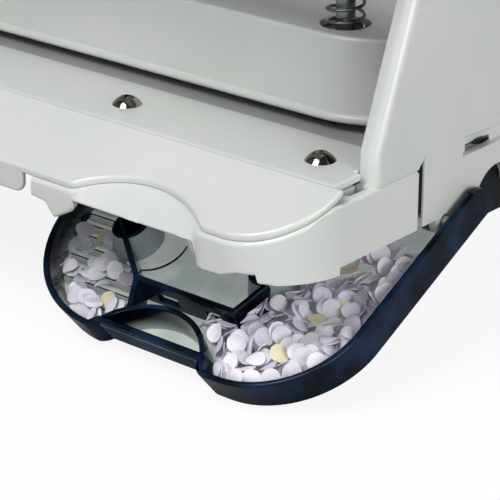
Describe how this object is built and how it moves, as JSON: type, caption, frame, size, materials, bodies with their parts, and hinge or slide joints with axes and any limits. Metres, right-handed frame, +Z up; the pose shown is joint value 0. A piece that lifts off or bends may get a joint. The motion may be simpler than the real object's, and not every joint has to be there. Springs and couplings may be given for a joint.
{
  "type": "four-hole paper punch",
  "caption": "Lever-operated desk hole punch with a steel table, side cheeks and hinged see-through chip trays, the right one let down.",
  "frame": {"origin": "Middle of the bottom of the bounding box: under the machine, level with the lowest edge of the right tray, which is let down", "axes": "+X along the machine to the right of a user who faces the handle, +Y from the front edge to the back, +Z up"},
  "size_m": [0.3192, 0.1356, 0.182],
  "materials": {
    "body_paint": "satin light grey powder coat",
    "moulded_grey": "satin light grey moulding",
    "tray_navy": "see-through smoked navy moulding",
    "plain_steel": "ground steel",
    "screw_chrome": "polished",
    "black_plastic": "matt black",
    "foot_rubber": "matt",
    "grip_navy": "matt soft sleeve",
    "guide_plastic": "matt grey"
  },
  "bodies": {
    "base": {"base_unit_left": "moulded_grey", "base_unit_right": "moulded_grey", "cheek_cover_left": "body_paint", "cheek_cover_right": "body_paint", "chip_chute_left": "black_plastic", "chip_chute_right": "black_plastic", "die_bed": "plain_steel", "die_rings": "plain_steel", "frame_plate_left": "plain_steel", "frame_plate_right": "plain_steel", "frame_screws": "plain_steel", "guide_bridge": "plain_steel", "head_cover": "body_paint", "lever_shaft": "plain_steel", "paper_back_stop": "plain_steel", "paper_table": "body_paint", "rail_guides": "guide_plastic", "rear_cover": "body_paint", "rear_crossmember": "plain_steel", "rear_foot_left": "black_plastic", "rear_foot_right": "black_plastic", "shaft_rings": "plain_steel", "table_screws": "screw_chrome", "tray_hinge_pins": "plain_steel"},
    "lever": {"lever_arm_right": "plain_steel", "lever_arm_left": "plain_steel", "lever_bushes": "guide_plastic", "press_bar": "plain_steel", "lever_hood": "body_paint", "handle_core": "plain_steel", "handle_grip": "grip_navy"},
    "punch_slide": {"punch_beam": "plain_steel", "spring_washers": "plain_steel", "punch_pin_1": "plain_steel", "punch_pin_2": "plain_steel", "punch_pin_3": "plain_steel", "punch_pin_4": "plain_steel", "punch_spring_1": "plain_steel", "punch_spring_2": "plain_steel", "punch_spring_3": "plain_steel", "punch_spring_4": "plain_steel"},
    "tray_right": {"chip_tray_right": "tray_navy", "tray_pads_right": "foot_rubber"},
    "tray_left": {"chip_tray_left": "tray_navy", "tray_pads_left": "foot_rubber"},
    "stop_rail": {"paper_stop_rail": "plain_steel", "rail_pull": "black_plastic"}
  },
  "joints": [
    {"name": "lever_press", "type": "hinge", "parent": "base", "child": "lever", "pos_m": [0, 0.03178, 0.1164], "axis": [1, 0, 0], "range_deg": [0, 27], "stiffness_Nm_per_rad": 6, "springref_deg": -22.92},
    {"name": "punch_stroke", "type": "slide", "parent": "base", "child": "punch_slide", "axis": [0, 0, -1], "range_m": [0, 0.0085], "deforming": ["punch_spring_1", "punch_spring_2", "punch_spring_3", "punch_spring_4"]},
    {"name": "right_tray_swing", "type": "hinge", "parent": "base", "child": "tray_right", "pos_m": [0, 0.01409, 0.0395], "axis": [1, 0, 0], "range_deg": [-27, 0]},
    {"name": "left_tray_swing", "type": "hinge", "parent": "base", "child": "tray_left", "pos_m": [0, 0.01409, 0.0395], "axis": [1, 0, 0], "range_deg": [0, 27]},
    {"name": "stop_rail_slide", "type": "slide", "parent": "base", "child": "stop_rail", "axis": [1, 0, 0], "range_m": [0, 0.09]}
  ],
  "couplings": [
    {"joint": "punch_stroke", "follows": "lever_press", "m_per_rad": 0.017825}
  ]
}
